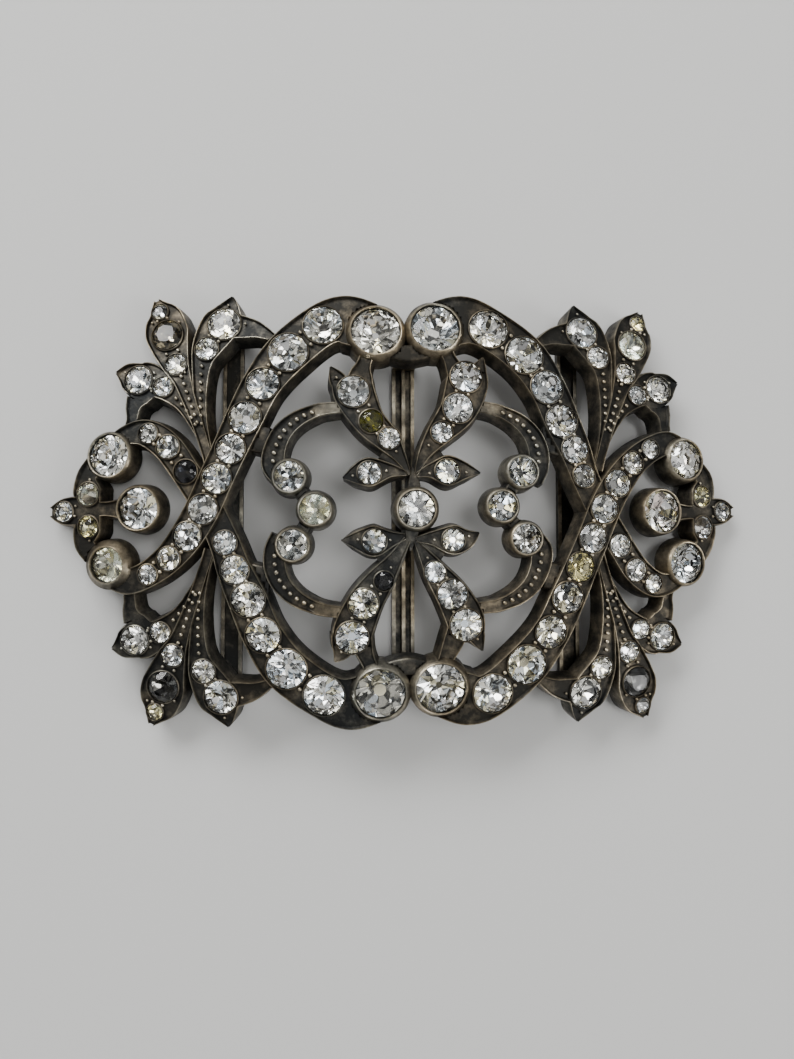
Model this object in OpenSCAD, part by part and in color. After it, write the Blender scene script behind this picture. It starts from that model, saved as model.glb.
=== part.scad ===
// Belt buckle of domed, pierced openwork set with cut paste stones, on three back bars.
// X runs along the buckle, Y across it and Z up, out of its face. It rests on the back bars.

/* [Dome] */
// Radius of the sphere that the girdles of the stones lie on
dome_radius = 140; // [135:1:150]
// Height of that sphere at the middle of the buckle
dome_height = 10.5; // [10.3:0.1:11]
// Height of the rims over the girdles
rim_height = 0.25; // [0.15:0.05:0.35]
// Depth of the casting below the girdles
cast_depth = 2.8; // [2.7:0.1:3]
// Height of the lowest tips of the casting over the surface
tip_clearance = 0.4; // [0.3:0.1:0.6]

/* [Rims and seats] */
// Width of the raised rims along every ribbon
rim_width = 0.3; // [0.25:0.01:0.32]
// Depth of the channel floor below the girdles
channel_depth = 0.4; // [0.3:0.05:0.6]
// Depth of the seats below the girdles
seat_depth = 2.25; // [2.2:0.05:2.3]
// Gap between a stone and the wall of its seat
seat_gap = 0.1; // [0.1:0.01:0.12]

/* [Bezels] */
// Height of a bezel's lip over the girdle
lip_height = 0.45; // [0.3:0.05:0.6]
// Thickness of the closed bottom of a bezel
bezel_floor = 0.5; // [0.4:0.05:0.6]

/* [Stones] */
// Table width as a part of the girdle width
table_part = 0.56; // [0.5:0.02:0.6]
// Height of the crown as a part of the girdle radius
crown_part = 0.34; // [0.3:0.02:0.4]
// Depth of the pavilion as a part of the girdle radius
pavilion_part = 0.8; // [0.7:0.02:0.82]
// Width of the flat culet as a part of the girdle width
culet_part = 0.16; // [0.12:0.02:0.2]

/* [Back bars] */
// Distance of each side bar from the middle
side_bar_x = 24.15; // [24:0.05:24.3]
// Length of the side bars
side_bar_length = 54; // [53.6:0.1:54.2]
// Width of the side bars
side_bar_width = 2.9; // [2.6:0.1:3]
// Height of the side walls of the folded bars
bar_wall = 1.3; // [1:0.1:1.5]
// Thickness of the folded sheet
bar_sheet = 0.5; // [0.4:0.05:0.6]
// Length of the centre bar
centre_bar_length = 43.4; // [43:0.1:43.6]
// Width of the centre bar
centre_bar_width = 3.2; // [2.8:0.1:3.4]
// Height of the ridge along the centre bar
centre_ridge = 1.8; // [1.5:0.1:2]

/* [Hidden] */
$fn = 48;
dome_fn = 240;
curve_steps = 3;
leaf_shoulder = 0.55;
ribbon_tip = 0.12;
sky = 20;

// Height of the seams where the legs of the bars are soldered to the lugs of the casting
side_seam = 2.5;
centre_seam = 5.6;
lug_rise = 0.8;
leg_length = 1.2;

// Tables of stones: x, y, girdle radius. The right half is the left half turned half round.
OVER_STONES = [
    [-11.6, 25.1, 2.55], [-16.3, 21.2, 2.55], [-19.7, 16.8, 2.1], [-22, 12.1, 2.05],
    [-23.9, 7.9, 1.9], [-25.7, 3.9, 1.9], [-27.5, -0.2, 1.9], [-29.6, -3.8, 1.8],
    [-32.1, -6.8, 1.5], [-35, -8.9, 1.25]];
UNDER_STONES = [
    [-11.3, -25.1, 2.6], [-16.3, -21.5, 2.55], [-19.4, -17, 2.2], [-21.4, -12.3, 2.15],
    [-23.2, -8.3, 1.8], [-24.5, -4.7, 1.5],
    [-29.9, 4.9, 1.5], [-32.4, 8.3, 1.5], [-35.2, 10.2, 1.25]];
TREFOIL_STONES = [[-47, -0.3, 1.3], [-43.5, 2.1, 1.5], [-43.4, -2.4, 1.4]];
SPRAY_STONES = [
    [-36.8, 17.8, 1.85], [-33.3, 16.7, 1.3], [-34.2, 27.6, 1.05], [-33, 24.1, 2.05],
    [-31.6, 19.8, 1.4], [-25.1, 25.4, 2.15], [-27.4, 21.9, 1.5]];

// Tables of bezels: x, y, girdle radius of the stone, outer radius, with their names
LEFT_BEZELS = [
    [-4.4, 24.2, 3.3, 4.15], [-3.75, -24.8, 3.3, 4.15],
    [-40.5, 7.3, 2.8, 3.4], [-40.6, -7.6, 2.3, 3.4], [-36.3, 0, 2.75, 3.3],
    [-16, 4.1, 1.95, 2.55], [-12.6, -0.3, 1.95, 2.6], [-15.5, -5, 1.95, 2.55]];
LEFT_BEZEL_NAMES = ["big_upper", "big_lower", "outer_upper", "outer_lower", "inner",
    "scroll_upper", "scroll_middle", "scroll_lower"];
// Names of the same bezels turned half round
RIGHT_BEZEL_NAMES = ["big_lower", "big_upper", "outer_lower", "outer_upper", "inner",
    "scroll_lower", "scroll_middle", "scroll_upper"];
CENTRE_BEZEL = [0.9, -0.2, 2.4, 3.1];

// Tables of ribbons: x, y, half width. The over band runs from the upper big bezel down to the
// outer bezel below, and the under band from the lower big bezel up to the outer bezel above.
OVER_BAND = [
    [-4.4, 25, 4], [-8.2, 25.8, 3.6], [-11.6, 25.1, 3.15], [-16.3, 21.2, 3.1], [-19.7, 16.8, 2.7],
    [-22, 12.1, 2.6], [-23.9, 7.9, 2.45], [-25.7, 3.9, 2.4], [-27.5, -0.2, 2.4],
    [-29.6, -3.8, 2.3], [-32.1, -6.8, 2.05], [-35, -8.9, 1.85], [-38, -10.1, 1.6], [-40.2, -10.6, 0.9]];
UNDER_BAND = [
    [-3.8, -25.4, 4], [-7.6, -26.2, 3.6], [-11.3, -25.1, 3.15], [-16.3, -21.5, 3.1],
    [-19.4, -17, 2.75], [-21.4, -12.3, 2.65], [-23.2, -8.3, 2.35], [-24.5, -4.7, 2.1],
    [-26.8, 0.1, 2], [-29.9, 4.9, 2], [-32.4, 8.3, 2.05], [-35.2, 10.2, 1.9],
    [-38, 10.7, 1.4], [-40.4, 10.4, 0.8]];
SPRAY_LEAVES = [
    [[-26.6, 5.6, 0.6], [-27.3, 8.4, 0.6], [-28.9, 11.6, 0.75], [-30.8, 14.3, 0.95], [-33.3, 16.7, 1.9],
     [-35.2, 17.5, 2.6], [-36.8, 17.8, 2.5], [-38.6, 18.6, 1.7], [-40, 18.9, 0.1]],
    [[-26.5, 5.6, 0.7], [-27.3, 8.2, 0.7], [-28.4, 11.5, 0.8], [-29.7, 15, 1], [-30.7, 17.8, 1.35],
     [-31.6, 19.8, 1.95], [-32.5, 22.4, 2.65], [-33.05, 24.5, 3.05], [-33.5, 26.8, 2.5],
     [-34.2, 28.3, 1.3], [-34.7, 29.3, 0.4]],
    [[-26.4, 5.6, 0.9], [-27.1, 8, 0.8], [-27.9, 12, 0.9], [-28.1, 16, 1], [-28, 19.5, 1.4],
     [-27.4, 21.9, 2.1], [-26, 24.6, 2.7], [-24.9, 26.4, 2.4], [-24.2, 28.4, 1.1], [-24, 29.4, 0.1]]];
SPRAY_TAILS = [
    [[-34.4, 16.6, 1.2], [-36.4, 15.6, 1.7], [-37.3, 14, 1.15], [-37.4, 12.3, 0.85], [-37.6, 10.8, 0.9]],
    [[-25.2, 25.2, 2], [-22.7, 24.9, 1.7], [-20.4, 24.4, 1.2], [-17.8, 23, 0.4]]];
TREFOIL = [
    [[-39, 0, 1.3], [-41.4, 0, 1], [-43.6, -0.1, 1.9], [-47, -0.3, 1.85], [-48.9, -0.3, 0.7]],
    [[-42.4, 0, 1], [-43.5, 2.1, 2.05], [-43.7, 4.4, 1.5], [-42.6, 6.2, 1.4]],
    [[-42.4, -0.2, 1], [-43.4, -2.4, 1.95], [-43.8, -4.7, 1.5], [-42.6, -6.4, 1.4]]];
SCROLLS = [
    [[-9.6, 13.4, 0.95], [-12.4, 13, 1], [-14.9, 11.9, 1.15], [-16.8, 10.2, 1.35],
     [-17.9, 7.9, 1.5], [-18.1, 5.6, 1.6], [-17.2, 3.5, 1]],
    [[-9.8, -13.8, 0.95], [-12.7, -13.2, 1], [-15.1, -12, 1.15], [-16.9, -10.2, 1.35],
     [-17.8, -8, 1.5], [-17.8, -5.8, 1.5], [-17, -4, 1.5]]];
// Webs that tie the scrolls to the bands, the scroll bezels and the big bezels to each other
WEBS = [
    [[-22, 9.7, 1.9], [-19, 9, 1.8]], [[-21.6, -9.6, 2.3], [-18.6, -9.9, 1.9]],
    [[-15.8, 3.4, 0.9], [-13.2, 0.7, 0.9]], [[-15.1, -4.2, 0.9], [-13.2, -1.3, 0.9]],
    [[-3, 21.6, 0.9], [0, 21.3, 1.2], [3, 21.6, 0.9]]];

// Leaves of the middle ornament: ribbon, horn, neck to the big bezel, stones
BIG_LEAVES = [
    [[[0, 4.4, 0.2], [-1.4, 6.9, 0.95], [-3.1, 9.2, 1.8], [-5.2, 12, 2.25],
      [-7.3, 15.5, 2.7], [-7.6, 17.3, 2.6]],
     [[-8.4, 16, 1.5], [-9.8, 17.8, 0.8], [-10.8, 19.4, 0.1]],
     [[-6.6, 16, 1.6], [-6.2, 18.4, 1.1], [-5.6, 20.8, 1]],
     [[-7.5, 15.7, 2.05], [-5.1, 11.6, 1.5], [-2.7, 9.3, 1.35]]],
    [[[0.8, 4.3, 0.2], [2, 7.2, 0.9], [3.9, 9.9, 1.7], [6.2, 13.3, 2.35],
      [7.7, 16.8, 2.65], [8, 18.6, 2.5]],
     [[8.8, 17.6, 1.5], [9.8, 19.4, 0.7], [10.3, 20.8, 0.1]],
     [[6.8, 18, 1.6], [5.8, 20.2, 1], [5.2, 21.6, 1]],
     [[7.9, 18, 2.05], [6.7, 13.6, 1.95], [4.4, 10.2, 1.35]]],
    [[[-0.3, -4.2, 0.5], [-2.1, -7.1, 1.15], [-3.9, -9.7, 1.9], [-5.9, -12.7, 2.4],
      [-7.4, -16.2, 2.7], [-7.6, -18.2, 2.5]],
     [[-8.6, -17.2, 1.5], [-9.6, -19.2, 0.7], [-10, -20.5, 0.1]],
     [[-6.4, -17.8, 1.6], [-5.7, -19.8, 1.1], [-5, -21.4, 1]],
     [[-7.6, -17.3, 2.05], [-6.1, -12.8, 1.9], [-3.4, -9.8, 1.2]]],
    [[[0.7, -4.4, 0.2], [2.2, -6.6, 1], [3.8, -9, 1.7], [6, -12, 2.35],
      [7.5, -14.8, 2.65], [7.8, -16.6, 2.5]],
     [[8.6, -15.8, 1.5], [9.6, -17.8, 0.7], [10, -19.2, 0.1]],
     [[6.6, -16.4, 1.6], [5.6, -18.6, 1], [4.8, -20.6, 1]],
     [[7.7, -15.7, 2.05], [5.8, -11.6, 1.9], [3.4, -8.6, 1.35]]]];
BIG_LEAF_NAMES = ["upper_left", "upper_right", "lower_left", "lower_right"];
BIG_LEAF_STONE_NAMES = ["outer", "middle", "inner"];
// Leaves beside the centre bezel: ribbon, stone
SMALL_LEAVES = [
    [[[-0.4, 4.5, 0.3], [-2.6, 4.9, 1], [-5.3, 4.7, 2], [-7.3, 4.3, 1.3], [-8.9, 3.9, 0.1]],
     [-5.4, 4.6, 1.45]],
    [[[0.9, 4.3, 0.3], [2.7, 4.9, 1], [5.1, 5, 2.1], [7.4, 5, 1.3], [9.6, 4.7, 0.1]],
     [5.1, 4.9, 1.55]],
    [[[-0.6, -3.9, 0.4], [-2.4, -4.2, 1.1], [-4.7, -4.5, 2.1], [-7, -4.4, 1.3], [-9.1, -4.4, 0.1]],
     [-4.7, -4.5, 1.5]],
    [[[0.8, -4.3, 0.3], [3, -4.1, 1], [5.8, -4.3, 2], [7.8, -4.1, 1.4], [9.4, -3.3, 0.1]],
     [5.9, -4.3, 1.45]]];
// Necks that tie the middle bezel to both fans of leaves
CENTRE_NECKS = [
    [[0.7, 2, 0.9], [0.4, 3.6, 0.8], [0.4, 5.6, 0.6]],
    [[0.5, -2.4, 0.9], [0.2, -4, 1], [0, -5.8, 0.7]]];

BEZEL_STONE_NODES = concat(
    [for (name = LEFT_BEZEL_NAMES) str("left_", name, "_stone")],
    [for (name = RIGHT_BEZEL_NAMES) str("right_", name, "_stone")]);
BIG_LEAF_NODES = [
    for (leaf = BIG_LEAF_NAMES, name = BIG_LEAF_STONE_NAMES) str(leaf, "_leaf_", name, "_stone")];
SMALL_LEAF_NODES = [for (leaf = BIG_LEAF_NAMES) str(leaf, "_small_leaf_stone")];
FIELD_NODES = ["left_over_band_stones", "left_under_band_stones", "right_over_band_stones",
    "right_under_band_stones", "left_trefoil_stones", "right_trefoil_stones"];
SPRAY_NODES = [for (corner = BIG_LEAF_NAMES) str(corner, "_spray_stones")];

// Height of the girdle sphere over a place in the plan
function dome_z(x, y) = dome_height - dome_radius + sqrt(dome_radius * dome_radius - x * x - y * y);
// Point between b and c of the smooth curve through rows a, b, c and d
function between(a, b, c, d, t) =
    0.5 * (2 * b + (c - a) * t + (2 * a - 5 * b + 4 * c - d) * t * t + (3 * b - a - 3 * c + d) * t * t * t);
function smooth(rows) = let (last = len(rows) - 1) [
    for (i = [0:last - 1], k = [0:curve_steps - 1])
        between(rows[max(i - 1, 0)], rows[i], rows[i + 1], rows[min(i + 2, last)], k / curve_steps),
    rows[last]];
function heading(path, i) =
    let (a = path[max(i - 1, 0)], b = path[min(i + 1, len(path) - 1)], run = [b.x - a.x, b.y - a.y])
    run / norm(run);
// One edge of a ribbon, side 1 on the left of its run and -1 on the right
function edge(path, side, inset) = [
    for (i = [0:len(path) - 1])
        let (along = heading(path, i), reach = side * max(path[i][2] - inset, ribbon_tip))
        [path[i].x - reach * along.y, path[i].y + reach * along.x]];
function backwards(list) = [for (i = [len(list) - 1:-1:0]) list[i]];

module ribbon(rows) {
    path = smooth(rows);
    polygon(concat(edge(path, 1, 0), backwards(edge(path, -1, 0))));
}

// The hollow of a ribbon between its rims, left out where the ribbon is too thin for one
module hollow(rows) {
    path = [for (row = smooth(rows)) if (row[2] > rim_width + 2 * ribbon_tip) row];
    polygon(concat(edge(path, 1, rim_width), backwards(edge(path, -1, rim_width))));
}

module both_halves() {
    children();
    rotate(180) children();
}

module four_corners() {
    both_halves() {
        children();
        mirror([0, 1]) children();
    }
}

module dome_ball(offset) {
    translate([0, 0, dome_height - dome_radius])
        rotate([90, 0, 0]) sphere(r = dome_radius + offset, $fn = dome_fn);
}

// Everything over the plan of the children, down to a depth below the girdles
module cut_above(depth) {
    difference() {
        linear_extrude(sky) children();
        dome_ball(-depth);
    }
}

// Sets the children at a place on the dome, with their Z along its normal
module on_dome(x, y) {
    azimuth = atan2(y, x);
    tilt = asin(norm([x, y]) / dome_radius);
    translate([x, y, dome_z(x, y)])
        rotate([0, 0, azimuth]) rotate([0, tilt, 0]) rotate([0, 0, -azimuth]) children();
}

module plan() {
    both_halves() {
        ribbon(OVER_BAND);
        ribbon(UNDER_BAND);
        for (rows = concat(TREFOIL, SCROLLS, WEBS)) ribbon(rows);
    }
    four_corners() for (rows = concat(SPRAY_LEAVES, SPRAY_TAILS)) ribbon(rows);
    for (leaf = BIG_LEAVES) {
        for (k = [0:2]) ribbon(leaf[k]);
        translate([leaf[3][0].x, leaf[3][0].y]) circle(r = leaf[3][0][2] + leaf_shoulder);
    }
    for (leaf = SMALL_LEAVES) ribbon(leaf[0]);
    for (rows = CENTRE_NECKS) ribbon(rows);
}

// Channels between the rims, each cut down to the channel floor
module channels() {
    for (turn = [0, 180]) rotate([0, 0, turn]) {
        cut_above(channel_depth) hollow(OVER_BAND);
        cut_above(channel_depth) difference() {
            hollow(UNDER_BAND);
            ribbon(OVER_BAND);
        }
        cut_above(channel_depth) {
            for (rows = TREFOIL) hollow(rows);
            for (rows = SCROLLS) hollow([for (i = [1:len(rows) - 1]) rows[i]]);
        }
    }
    cut_above(channel_depth) {
        for (leaf = BIG_LEAVES) hollow(leaf[0]);
        for (leaf = SMALL_LEAVES) hollow(leaf[0]);
    }
    cut_above(channel_depth) difference() {
        four_corners() for (rows = SPRAY_LEAVES) hollow(rows);
        both_halves() {
            ribbon(OVER_BAND);
            ribbon(UNDER_BAND);
        }
    }
}

module seat_circles(stones) {
    for (s = stones) translate([s.x, s.y]) circle(r = s[2] + seat_gap);
}

module seats() {
    both_halves() seat_circles(concat(OVER_STONES, UNDER_STONES, TREFOIL_STONES));
    four_corners() seat_circles(SPRAY_STONES);
    for (leaf = BIG_LEAVES) seat_circles(leaf[3]);
    seat_circles([for (leaf = SMALL_LEAVES) leaf[1]]);
}

module bezel_cup(bezel) {
    depth = max(cast_depth, pavilion_part * bezel[2] + seat_gap + bezel_floor);
    on_dome(bezel.x, bezel.y) translate([0, 0, -depth]) cylinder(r = bezel[3], h = depth + lip_height);
}

module bezel_seat(bezel) {
    depth = pavilion_part * bezel[2] + seat_gap;
    on_dome(bezel.x, bezel.y) translate([0, 0, -depth]) cylinder(r = bezel[2] + seat_gap, h = depth + 1);
}

// A lug under the casting that a bar's leg is soldered to
module lug(x, y, seam, width) {
    translate([x - width / 2, y - leg_length / 2, seam]) cube([width, leg_length, lug_rise]);
}

module frame() {
    side_y = (side_bar_length - leg_length) / 2;
    centre_y = (centre_bar_length - leg_length) / 2;
    color([0.33, 0.29, 0.24]) {
        difference() {
            union() {
                difference() {
                    intersection() {
                        translate([0, 0, tip_clearance]) linear_extrude(sky) plan();
                        dome_ball(rim_height);
                    }
                    dome_ball(-cast_depth);
                    channels();
                    cut_above(seat_depth) seats();
                }
                bezel_cup(CENTRE_BEZEL);
                both_halves() for (bezel = LEFT_BEZELS) bezel_cup(bezel);
                four_corners() lug(-side_bar_x, side_y, side_seam, side_bar_width - 0.4);
                both_halves() lug(0, centre_y, centre_seam, centre_bar_width - 0.4);
            }
            bezel_seat(CENTRE_BEZEL);
            both_halves() for (bezel = LEFT_BEZELS) bezel_seat(bezel);
        }
    }
}

// Outline of a folded bar: a flat bottom, two side walls and a ridge of a given height between
module bar_section(width, ridge) {
    square([width, bar_sheet]);
    square([bar_sheet, bar_wall]);
    translate([width - bar_sheet, 0]) square([bar_sheet, bar_wall]);
    translate([(width - bar_sheet) / 2, 0]) square([bar_sheet, ridge]);
}

module bar(x, width, length, ridge, seam) {
    translate([x - width / 2, length / 2, 0]) rotate([90, 0, 0])
        linear_extrude(length) bar_section(width, ridge);
    for (end = [-length / 2, length / 2 - leg_length])
        translate([x - width / 2, end, 0]) cube([width, leg_length, seam]);
}

module left_bar() {
    color([0.16, 0.13, 0.11]) bar(-side_bar_x, side_bar_width, side_bar_length, bar_sheet, side_seam);
}

module right_bar() {
    color([0.16, 0.13, 0.11]) bar(side_bar_x, side_bar_width, side_bar_length, bar_sheet, side_seam);
}

module centre_bar() {
    color([0.36, 0.33, 0.3]) bar(0, centre_bar_width, centre_bar_length, centre_ridge, centre_seam);
}

// A ring of points: count, radius, height, turn of the first point
function ring(count, radius, height, turn) = [
    for (i = [0:count - 1])
        let (angle = turn + i * 360 / count) [radius * cos(angle), radius * sin(angle), height]];

// A brilliant-cut stone with eight-fold facets, its girdle at z = 0
module cut_stone(r) {
    step = 360 / 8;
    crown = crown_part * r;
    table = table_part * r;
    knee = (r + table) / 2;
    knee_z = crown * (r - knee * cos(step / 2)) / (r - table);
    points = concat(
        ring(8, table, crown, 0),
        ring(8, knee, knee_z, step / 2),
        ring(16, r, 0, 0),
        ring(8, culet_part * r, -pavilion_part * r, 0));
    faces = concat(
        [[7, 6, 5, 4, 3, 2, 1, 0], [32, 33, 34, 35, 36, 37, 38, 39]],
        [for (i = [0:7]) let (next = (i + 1) % 8) each [
            [i, next, 8 + i],
            [i, 8 + i, 16 + 2 * i],
            [i, 16 + 2 * i, 8 + (i + 7) % 8],
            [8 + i, 17 + 2 * i, 16 + 2 * i],
            [8 + i, 16 + 2 * next, 17 + 2 * i],
            [32 + i, 16 + 2 * i, 17 + 2 * i],
            [32 + i, 17 + 2 * i, 32 + next],
            [32 + next, 17 + 2 * i, 16 + 2 * next]]]);
    polyhedron(points, faces);
}

module set_stone(stone) {
    on_dome(stone.x, stone.y) cut_stone(stone[2]);
}

module clear_stones(stones) {
    color([0.85, 0.88, 0.88]) for (stone = stones) set_stone(stone);
}

// A table of stones for the right half
function turned(stones) = [for (s = stones) [-s.x, -s.y, s[2]]];
// A table of spray stones for one corner, from the signs of its x and y
function cornered(stones, side_x, side_y) = [for (s = stones) [-side_x * s.x, side_y * s.y, s[2]]];

frame();
left_bar();
centre_bar();
right_bar();
clear_stones([CENTRE_BEZEL]);  // centre_stone
for (i = [0:15])
    clear_stones([concat(LEFT_BEZELS, turned(LEFT_BEZELS))[i]]);
for (i = [0:11])
    clear_stones([BIG_LEAVES[floor(i / 3)][3][i % 3]]);
for (i = [0:3])
    clear_stones([SMALL_LEAVES[i][1]]);
for (i = [0:5])
    clear_stones([OVER_STONES, UNDER_STONES, turned(OVER_STONES), turned(UNDER_STONES),
            TREFOIL_STONES, turned(TREFOIL_STONES)][i]);
for (i = [0:3])
    clear_stones(cornered(SPRAY_STONES, i % 2 == 0 ? -1 : 1, i < 2 ? 1 : -1));
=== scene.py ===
"""Looks of the paste-set belt buckle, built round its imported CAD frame."""

import math
import random

import bmesh
import bpy
import numpy as np
from mathutils import Matrix, Vector


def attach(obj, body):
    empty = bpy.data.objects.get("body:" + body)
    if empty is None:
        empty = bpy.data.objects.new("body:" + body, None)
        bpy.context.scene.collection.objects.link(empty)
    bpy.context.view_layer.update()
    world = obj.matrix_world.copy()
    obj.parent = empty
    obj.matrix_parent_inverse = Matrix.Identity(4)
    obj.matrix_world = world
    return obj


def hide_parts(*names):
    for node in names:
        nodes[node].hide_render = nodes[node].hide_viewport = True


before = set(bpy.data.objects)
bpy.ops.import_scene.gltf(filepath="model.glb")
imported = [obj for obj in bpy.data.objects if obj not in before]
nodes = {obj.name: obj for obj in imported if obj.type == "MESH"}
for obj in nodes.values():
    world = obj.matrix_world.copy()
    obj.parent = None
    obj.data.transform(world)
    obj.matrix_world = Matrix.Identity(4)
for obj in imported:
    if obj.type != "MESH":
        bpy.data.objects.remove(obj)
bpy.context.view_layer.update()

# Sizes in millimetres, as in the CAD source
MM = 0.001
DOME_RADIUS = 140.0
DOME_HEIGHT = 10.5
# Depth of the casting below the girdles
DEPTH = 2.8
# Height of the casting's lowest tips
TIP_CLEARANCE = 0.4
# Heights over the girdle sphere: a channel's floor, a seat's bottom, and the most that is left
# of a ribbon beneath another ribbon and beneath a bezel
FLOOR = -0.28
PIT = -2.42
UNDER_RIBBON = -2.6
UNDER_BEZEL = -2.77
# Steps along a curve
PACE = 0.32
# How much larger than in the CAD the stones are drawn, to fill their seats
STONE_SPREAD = 1.04

# Stones: x, y, girdle radius
OVER_STONES = [
    (-11.6, 25.1, 2.55), (-16.3, 21.2, 2.55), (-19.7, 16.8, 2.1), (-22, 12.1, 2.05),
    (-23.9, 7.9, 1.9), (-25.7, 3.9, 1.9), (-27.5, -0.2, 1.9), (-29.6, -3.8, 1.8),
    (-32.1, -6.8, 1.5), (-35, -8.9, 1.25)]
UNDER_STONES = [
    (-11.3, -25.1, 2.6), (-16.3, -21.5, 2.55), (-19.4, -17, 2.2), (-21.4, -12.3, 2.15),
    (-23.2, -8.3, 1.8), (-24.5, -4.7, 1.5),
    (-29.9, 4.9, 1.5), (-32.4, 8.3, 1.5), (-35.2, 10.2, 1.25)]
TREFOIL_STONES = [(-47, -0.3, 1.3), (-43.5, 2.1, 1.5), (-43.4, -2.4, 1.4)]
SPRAY_STONES = [
    (-36.8, 17.8, 1.85), (-33.3, 16.7, 1.3), (-34.2, 27.6, 1.05), (-33, 24.1, 2.05),
    (-31.6, 19.8, 1.4), (-25.1, 25.4, 2.15), (-27.4, 21.9, 1.5)]
# Round bezels: x, y, girdle radius, outer radius
LEFT_BEZELS = [
    (-4.4, 24.2, 3.3, 4.15), (-3.75, -24.8, 3.3, 4.15),
    (-40.5, 7.3, 2.8, 3.4), (-40.6, -7.6, 2.3, 3.4), (-36.3, 0, 2.75, 3.3),
    (-16, 4.1, 1.95, 2.55), (-12.6, -0.3, 1.95, 2.6), (-15.5, -5, 1.95, 2.55)]
LEFT_BEZEL_NAMES = [
    "big_upper", "big_lower", "outer_upper", "outer_lower", "inner",
    "scroll_upper", "scroll_middle", "scroll_lower"]
RIGHT_BEZELS = [
    (4.4, -24.2, 3.3, 4.15), (3.75, 24.8, 3.3, 4.15),
    (40.5, -7.3, 2.8, 3.4), (40.6, 7.6, 2.7, 3.4), (36.4, 0, 2.9, 3.4),
    (16, -4.1, 1.95, 2.55), (12.6, 0.3, 1.95, 2.6), (15.5, 5, 1.95, 2.55)]
RIGHT_BEZEL_NAMES = [
    "big_lower", "big_upper", "outer_lower", "outer_upper", "inner",
    "scroll_lower", "scroll_middle", "scroll_upper"]
CENTRE_BEZEL = (0.9, -0.2, 2.4, 3.1)
# Ribbons: x, y, half width
OVER_BAND = [
    (-4.4, 24.4, 3.5), (-8.2, 25.8, 3.6), (-11.6, 25.1, 3.15), (-16.3, 21.2, 3.1),
    (-19.7, 16.8, 2.7), (-22, 12.1, 2.6), (-23.9, 7.9, 2.45), (-25.7, 3.9, 2.4), (-27.5, -0.2, 2.4),
    (-29.6, -3.8, 2.3), (-32.1, -6.8, 2.05), (-35, -8.9, 1.85), (-38, -10, 1.65), (-40.6, -9.9, 0.7)]
UNDER_BAND = [
    (-3.8, -25, 3.5), (-7.6, -26.2, 3.6), (-11.3, -25.1, 3.15), (-16.3, -21.5, 3.1),
    (-19.4, -17, 2.75), (-21.4, -12.3, 2.65), (-23.2, -8.3, 2.35), (-24.5, -4.7, 2.1),
    (-26.8, 0.1, 2), (-29.9, 4.9, 2), (-32.4, 8.3, 2.05), (-35.2, 10.2, 1.9),
    (-37.8, 10.2, 1.45), (-40.2, 9.2, 0.9)]
SPRAY_LEAVES = [
    [(-26.6, 5.6, 0.6), (-27.3, 8.4, 0.6), (-28.9, 11.6, 0.75), (-30.8, 14.3, 0.95), (-33.3, 16.7, 1.9),
     (-35.2, 17.5, 2.6), (-36.8, 17.8, 2.5), (-38.6, 18.6, 1.7), (-40, 18.9, 0.1)],
    [(-26.5, 5.6, 0.7), (-27.3, 8.2, 0.7), (-28.4, 11.5, 0.8), (-29.7, 15, 1), (-30.7, 17.8, 1.35),
     (-31.6, 19.8, 1.95), (-32.5, 22.4, 2.65), (-33.05, 24.5, 3.05), (-33.5, 26.8, 2.5),
     (-34.2, 28.3, 1.3), (-34.7, 29.3, 0.4)],
    [(-26.4, 5.6, 0.9), (-27.1, 8, 0.8), (-27.9, 12, 0.9), (-28.1, 16, 1), (-28, 19.5, 1.4),
     (-27.4, 21.9, 2.1), (-26, 24.6, 2.7), (-24.9, 26.4, 2.4), (-24.2, 28.4, 1.1), (-24, 29.4, 0.1)]]
SPRAY_TAILS = [
    [(-34.4, 16.6, 1.2), (-36.4, 15.6, 1.7), (-37.3, 14, 1.15), (-37.4, 12.3, 0.85), (-37.6, 10.8, 0.9)],
    [(-25.2, 25.2, 2), (-22.7, 24.9, 1.7), (-20.4, 24.4, 1.2), (-17.8, 23, 0.4)]]
TREFOIL = [
    [(-39, 0, 1.3), (-41.4, 0, 1), (-43.6, -0.1, 1.9), (-47, -0.3, 1.85), (-48.9, -0.3, 0.7)],
    [(-42.4, 0, 1), (-43.5, 2.1, 2.05), (-43.7, 4.4, 1.5), (-42.6, 6.2, 1.4)],
    [(-42.4, -0.2, 1), (-43.4, -2.4, 1.95), (-43.8, -4.7, 1.5), (-42.6, -6.4, 1.4)]]
SCROLLS = [
    [(-8.5, 13.5, 0.75), (-10.7, 13.3, 0.8), (-12.4, 13, 0.9), (-14.9, 11.9, 1.15),
     (-16.8, 10.2, 1.35), (-17.9, 7.9, 1.5), (-18.1, 5.6, 1.6), (-17.2, 3.5, 1)],
    [(-8.5, -13.95, 0.75), (-10.8, -13.7, 0.8), (-12.7, -13.2, 0.9), (-15.1, -12, 1.15),
     (-16.9, -10.2, 1.35), (-17.8, -8, 1.5), (-17.8, -5.8, 1.5), (-17, -4, 1.5)]]
WEBS = [
    [(-22, 9.7, 1.9), (-19, 9, 1.8)], [(-21.6, -9.6, 2.3), (-18.6, -9.9, 1.9)],
    [(-15.8, 3.4, 0.9), (-13.2, 0.7, 0.9)], [(-15.1, -4.2, 0.9), (-13.2, -1.3, 0.9)],
    [(-3, 21.6, 0.9), (0, 21.3, 1.2), (3, 21.6, 0.9)]]
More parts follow.
